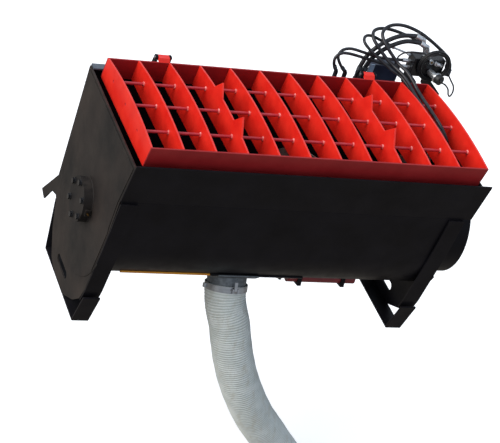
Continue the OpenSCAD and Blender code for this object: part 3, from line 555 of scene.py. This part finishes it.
# Wall with a spiral rib: r = outer - height * (1 - bump(s/pitch + a/2pi)) + slow dents, smooth under
# the clamp; the wall then turns in at the cut end and comes back up inside at the inner radius
def makeDischargeHose():
    path = smoothPath(fromOutlet(discharge["route"]), discharge["pitch"] * mm / 8)
    reach = pathLengths(path) / mm
    sides = discharge["sides"]
    share = np.arange(sides) / sides
    phase = reach[:, None] / discharge["pitch"] + share[None]
    ridge = (0.5 + 0.5 * np.cos(2 * math.pi * phase)) ** 1.6
    clamped = np.clip((reach - discharge["clampedTo"]) / discharge["clampFade"], 0, 1)[:, None]
    dents = 0.7 * np.sin(reach[:, None] / 61 + 5 * share[None] * math.pi * 2) * np.sin(
        reach[:, None] / 143 + 2 * share[None] * math.pi * 2)
    sag = 0.5 * np.sin(reach[:, None] / 17 + 3 * share[None] * math.pi * 2)
    outer = discharge["outer"] - 0.4 - discharge["ribHeight"] * (1 - ridge) * clamped
    outer = outer + (dents + sag - 1.0) * clamped
    outside = tubePoints(path, outer * mm, sides)
    inner = tubePoints(path[::-8], discharge["inner"] * mm, sides)
    tangent = path[-1] - path[-2]
    inner[0] += tangent / np.linalg.norm(tangent) * 0.2 * mm
    # The inner wall is carried back from the cut end, so its rings are turned to match the outer ones
    shift = np.argmin(np.linalg.norm(inner[0] - outside[-1][0], axis=1))
    ahead = np.linalg.norm(inner[0][(shift + 1) % sides] - outside[-1][1])
    behind = np.linalg.norm(inner[0][(shift - 1) % sides] - outside[-1][1])
    direction = 1 if ahead < behind else -1
    order = (shift + direction * np.arange(sides)) % sides
    points = np.concatenate([outside, inner[:, order], outside[:1]])
    lengths = np.concatenate([reach * mm, reach[-1] * mm + np.arange(len(inner)) * mm, [0]])
    return points, lengths


# Ribbed PVC on woven polyester: off-white, satin, greyer in soft smears, and greyer down in the grooves as painted
# shade
def makeVinyl():
    material, tree, shader = newMaterial("ribbedWhiteVinyl")
    grooveShade = spiralBands(tree, discharge["pitch"])
    patch = rescale(tree, clouds(tree, 70, 5), 0.32, 0.68)
    colour = mixColours(tree, patch, "#c3cac8", "#d2d8d6")
    # Painted shade: grey laid into the grooves between the ribs
    colour = mixColours(tree, rescale(tree, grooveShade, 0.22, 0.5, 0, 0.6), colour, "#8f9c98")
    smear = rescale(tree, clouds(tree, 26, 7, (1, 1, 0.35)), 0.5, 0.75, 0, 0.5)
    colour = mixColours(tree, smear, colour, "#a9a594")
    tree.links.new(colour, shader.inputs["Base Color"])
    gloss = rescale(tree, clouds(tree, 20, 5), 0.3, 0.7, 0.42, 0.62)
    tree.links.new(gloss, shader.inputs["Roughness"])
    weave = clouds(tree, 1.6, 2)
    bump = addNode(tree, "ShaderNodeBump", {}, {"Strength": 0.5, "Distance": 0.25 * mm},
                   {"Height": weave})
    tree.links.new(bump.outputs[0], shader.inputs["Normal"])
    shader.inputs["Subsurface Weight"].default_value = 0.08
    shader.inputs["Subsurface Radius"].default_value = (0.02, 0.02, 0.015)
    return material


hosePoints, hoseLengths = makeDischargeHose()
addPiece("ribbed_discharge_hose", gridMesh("ribbed_discharge_hose", hosePoints, hoseLengths,
         capEnds=False, sharp=60), "bucket", makeVinyl(), ["discharge_hose"])

print("fittings")


# Crimped shell and hexagon of a hose end: six pressed rings, a neck, then the nut
def hoseEndProfile(r):
    rows = [(0, r - 3, 0), (0.02, r - 1, 0)]
    for i in range(6):
        rows += [(0.06 + 0.09 * i, r, 0), (0.09 + 0.09 * i, r - 1.1, 0)]
    rows += [(0.62, r - 1, 0), (0.63, r - 3.5, 0), (0.68, r - 3.5, 0), (0.69, r, 6), (0.96, r, 6),
             (1.0, r - 1.5, 0)]
    return [(t, radius * mm, flats) for t, radius, flats in rows]


def roundProfile(r):
    return [(0, (r - 0.6) * mm, 0), (0.02, r * mm, 0), (0.98, r * mm, 0), (1, (r - 0.6) * mm, 0)]


def nutProfile(r):
    return [(0, (r - 1.5) * mm, 0), (0.08, r * mm, 6), (0.92, r * mm, 6), (1, (r - 1.5) * mm, 0)]


# Each run: from, to, radius and kind, in millimetres from the auger's axis
fittingRuns = [
    ((900, 545, 590), (900, 519, 590), 12, hoseEndProfile),
    ((735, 480, 548), (781, 480, 548), 10, hoseEndProfile),
    ((735, 488, 578), (781, 488, 578), 10, hoseEndProfile),
    ((772, 508, 708), (822, 500, 690), 14, hoseEndProfile),
    ((821, 500, 691), (846, 490, 612), 8, roundProfile),
    ((844, 491, 619), (847, 490, 610), 13, nutProfile),
    ((800, 492, 680), (845, 484, 660), 14, hoseEndProfile),
    ((844, 484, 661), (864, 476, 612), 8, roundProfile),
    ((861, 477, 620), (865, 476, 610), 13, nutProfile),
    ((672, 555, 618), (704, 549, 607), 10, hoseEndProfile),
    ((703, 549, 607), (783, 512, 598), 5, roundProfile),
    ((768, 519, 600), (783, 512, 598), 9, nutProfile),
    ((896, 452, 600), (896, 438, 600), 11, nutProfile),
    ((898, 442, 600), (930, 440, 592), 9, hoseEndProfile),
    ((868, 452, 606), (868, 439, 606), 12.5, nutProfile),
]
shells = [turnedPart("fitting", place(a), place(b), kind(r)) for a, b, r, kind in fittingRuns]
fittings = joinMeshes("hose_end_fittings", shells)
finishMesh(fittings, 30)
addPiece("hose_end_fittings", fittings, "bucket", finish["brightZincPlate"],
         ["valve_fittings"])
plug = turnedPart("port_plug", place((868, 441, 606)), place((868, 437, 606)), nutProfile(7))
addPiece("port_plug", plug, "bucket", finish["agedBrass"])

# Dark crimped ends where the gate and motor hoses reach their pipes
crimps = []
for name, size in (("gate_hose_a", 10), ("gate_hose_b", 10), ("motor_hose_a", 13.5),
                   ("motor_hose_b", 13.5)):
    first, second = (np.array(p, float) for p in hoseRoutes[name]["points"][:2])
    heading = (second - first) / np.linalg.norm(second - first)
    crimps.append(turnedPart("crimp", place(first + heading * 34), place(first - heading * 2),
                             hoseEndProfile(size)))
crimps.append(turnedPart("crimp", place((1000, 470, 560)), place((1000, 470, 522)),
                         hoseEndProfile(12)))
crimps.append(turnedPart("crimp", place((1002, 470, 530)), place((950, 470, 530)), nutProfile(11)))
crimped = joinMeshes("pipe_end_crimps", crimps)
finishMesh(crimped, 30)
addPiece("pipe_end_crimps", crimped, "bucket", finish["bluedSteelTube"])

print("weld beads")
grateWelds = dict(cell=150, cells=11, half=825, slatHalf=4, endHalf=8,
                  rods=[(193, 511), (-3, 523), (-201, 523)], rodRadius=7,
                  width=4.5, height=6, sink=0.3, rows=6, sides=18)


# Fillet around a rod on a slat: at t from 0 to 1 its radius is rod + width * cos(t * pi/2) and it
# stands height * sin(t * pi/2) off the slat, both lumpy by up to a fifth around the rod
def rodWeld(x, y, z, way):
    g = grateWelds
    t = np.linspace(0, 1, g["rows"])[:, None] * math.pi / 2
    angle = np.arange(g["sides"])[None] * 2 * math.pi / g["sides"]
    lump = 1 + 0.2 * np.sin(angle * 3 + rng.uniform(0, 6)) * rng.uniform(0.4, 1)
    radius = g["rodRadius"] + g["width"] * np.cos(t) * lump
    out = g["height"] * np.sin(t) * lump
    points = np.stack([x + way * (out - g["sink"]), y + radius * np.cos(angle),
                       z + radius * np.sin(angle)], 2)
    return gridMesh("weld", place(points), sharp=60)


welds = []
lastBar = grateWelds["cells"]
for step in range(lastBar + 1):
    centre = -grateWelds["half"] + grateWelds["cell"] * step
    halfBar = grateWelds["endHalf"] if step in (0, lastBar) else grateWelds["slatHalf"]
    for y, z in grateWelds["rods"]:
        if step > 0:
            welds.append(rodWeld(centre - halfBar, y, z, -1))
        if step < lastBar:
            welds.append(rodWeld(centre + halfBar, y, z, 1))
rodWelds = joinMeshes("rod_welds", welds)
finishMesh(rodWelds, 60)
addPiece("rod_welds", rodWelds, "grate", finish["redWeldBead"])


# Rippled bead along a path: r = size * (1 + 0.16 |sin(pi s / ripple)|)
def weldBead(name, points, size, ripple=5.0):
    path = smoothPath(place(points), 1.6 * mm)
    reach = pathLengths(path) / mm
    radius = size * mm * (1 + 0.16 * np.abs(np.sin(math.pi * reach / ripple)))
    return gridMesh(name, tubePoints(path, radius[:, None], 8), reach * mm, sharp=60)


def arcPoints(x, centre, radius, start, stop, count):
    a = np.radians(np.linspace(start, stop, count))
    return np.stack([np.full(count, x), centre[0] + radius * np.cos(a),
                     centre[1] + radius * np.sin(a)], 1)


frameBeads = [
    weldBead("bead", arcPoints(-873.6, (12, -8), 349, 200, 350, 40), 2.4),
    weldBead("bead", arcPoints(838.6, (12, -8), 349, 200, 350, 40), 2.4),
    weldBead("bead", [[-865, 391.5, 462], [-865, 391.5, 100], [-865, 391.5, -150]], 2.6),
    weldBead("bead", [[-571.5, 400, -157], [0, 400, -157], [571.5, 400, -157]], 3.2),
    weldBead("bead", [[-571.5, 400, -510], [0, 400, -510], [571.5, 400, -510]], 3.0),
    weldBead("bead", arcPoints(-876.5, (0, 0), 105, 0, 359, 60), 2.2),
]
beadMesh = joinMeshes("frame_beads", frameBeads)
finishMesh(beadMesh, 60)
addPiece("frame_beads", beadMesh, "bucket", finish["scuffedPowderCoat"])

print("edges and finishes")
slotFinish = {"satin_black": "blackPowderCoat", "grate_red": "signalRedEnamel",
              "gloss_black_metal": "castingEnamel", "guard_yellow": "guardYellowPaint",
              "cylinder_red": "oxideRedEnamel", "bare_steel": "drawnSteel",
              "galvanised_steel": "hotDipZinc", "chromed_steel": "hardChrome",
              "zinc_plate": "brightZincPlate", "dark_pipe": "bluedSteelTube",
              "mixer_steel": "cementedSteel", "seal_rubber": "nitrileRubber",
              "black_plastic": "mouldedNylon", "box_plastic": "navyPolycarbonate",
              "brass": "agedBrass"}
# The two long bars take the red that is darkened as painted shade
nodeFinish = {"left_end_plate": "scuffedPowderCoat", "end_doublers": "scuffedPowderCoat",
              "hinge_rail": "railSkyReflectionCoat", "bearing_cover": "scuffedPowderCoat",
              "grate_long_bars": "paintedShadeRedEnamel", "grate_rods": "rodRedEnamel",
              "box_bracket": "chromatedSheet"}
edgeWidth = {"bearing_cover": 3, "drive_cover": 4, "flange_bolts": 1.4, "valve_block": 2.5,
             "control_box": 5, "solenoid": 1.5, "solenoid_cap": 2, "gate_barrel": 1.5,
             "hose_clamp": 0.8, "clamp_lever": 0.7, "grease_nipple": 0.5, "skids": 2,
             "auger_shaft": 2, "auger_flights": 3}
edgeLook = dict(width=1.2, segments=2, angle=32)  # for every part that isn't in edgeWidth
slotOf = {part["node"]: part["material_slot"] for part in record["subparts"]}
bodyOf = {node: body for body, members in record["behaviour"]["bodies"].items()
          for node in members}


# Copy of a part's mesh, its doubled corners merged and flat faces joined, with a small rounded edge
def softenedCopy(name):
    mesh = nodes[name].data.copy()
    edit = bmesh.new()
    edit.from_mesh(mesh)
    bmesh.ops.remove_doubles(edit, verts=edit.verts, dist=0.02 * mm)
    bmesh.ops.dissolve_limit(edit, angle_limit=math.radians(0.5), verts=edit.verts, edges=edit.edges)
    edit.to_mesh(mesh)
    edit.free()
    finishMesh(mesh, 30)
    slot = slotOf[name]
    piece = addPiece(name + "_part", mesh, bodyOf[name],
                     finish[nodeFinish.get(name, slotFinish[slot])], [name])
    bevel = piece.modifiers.new("edge", "BEVEL")
    bevel.width = edgeWidth.get(name, edgeLook["width"]) * mm
    bevel.segments = edgeLook["segments"]
    bevel.limit_method = "ANGLE"
    bevel.angle_limit = math.radians(edgeLook["angle"])
    bevel.harden_normals = True
    return piece


for name in sorted(nodes):
    if not nodes[name].hide_render:
        softenedCopy(name)

print("floor and light")
floorLook = dict(half=40, gap=2, colour="#f2f3f4", roughness=0.9, glow=0.45)
floorMesh = bpy.data.meshes.new("floor")
low = cadBox[0][2] - floorLook["gap"] * mm
h = floorLook["half"]
floorMesh.from_pydata([(-h, -h, low), (h, -h, low), (h, h, low), (-h, h, low)], [], [(0, 1, 2, 3)])
floor = bpy.data.objects.new("floor", floorMesh)
bpy.context.scene.collection.objects.link(floor)
floorPaint, _, floorShader = newMaterial("paleFloor")
floorShader.inputs["Base Color"].default_value = toLinear(floorLook["colour"])
floorShader.inputs["Roughness"].default_value = floorLook["roughness"]
floorShader.inputs["Emission Color"].default_value = toLinear(floorLook["colour"])
floorShader.inputs["Emission Strength"].default_value = floorLook["glow"]
floorMesh.materials.append(floorPaint)
floor.visible_diffuse = False  # the pale floor doesn't wash out the black paint
floor.visible_glossy = False

# The key is a broad low sun from the left; power is in watts per square metre
keySun = dict(place=(-8.0, -0.6, 5.6), aim=(0, -0.4, 0), size=0.8, power=2.6, colour="#fff7ee")
sunData = bpy.data.lights.new("keySun", "SUN")
sunData.angle = keySun["size"]
sunData.energy = keySun["power"]
sunData.color = toLinear(keySun["colour"])[:3]
sun = bpy.data.objects.new("keySun", sunData)
bpy.context.scene.collection.objects.link(sun)
behind = np.array(keySun["place"], float) - np.array(keySun["aim"], float)
behind /= np.linalg.norm(behind)
across = np.cross([0, 0, 1], behind)
across /= np.linalg.norm(across)
spot = np.eye(4)
spot[:3, :3] = np.stack([across, np.cross(behind, across), behind], 1)
spot[:3, 3] = keySun["place"]
sun.matrix_world = Matrix(spot.tolist())

# Sky: pale blue overhead, dimmer and warmer from below
sky = dict(below="#9a948d", level="#b4b8bc", above="#d3deee", strength=1.0)
world = bpy.data.worlds.new("paleSky")
bpy.context.scene.world = world
world.use_nodes = True
skyTree = world.node_tree
way = addNode(skyTree, "ShaderNodeTexCoord").outputs["Generated"]
rise = addNode(skyTree, "ShaderNodeSeparateXYZ", {}, {}, {"Vector": way}).outputs["Z"]
lower = mixColours(skyTree, rescale(skyTree, rise, -0.5, 0.0), sky["below"], sky["level"])
skyColour = mixColours(skyTree, rescale(skyTree, rise, 0.0, 0.8), lower, sky["above"])
skyTree.links.new(skyColour, skyTree.nodes["Background"].inputs["Color"])
skyTree.nodes["Background"].inputs["Strength"].default_value = sky["strength"]
bpy.context.scene.view_settings.view_transform = "Standard"

print("done")
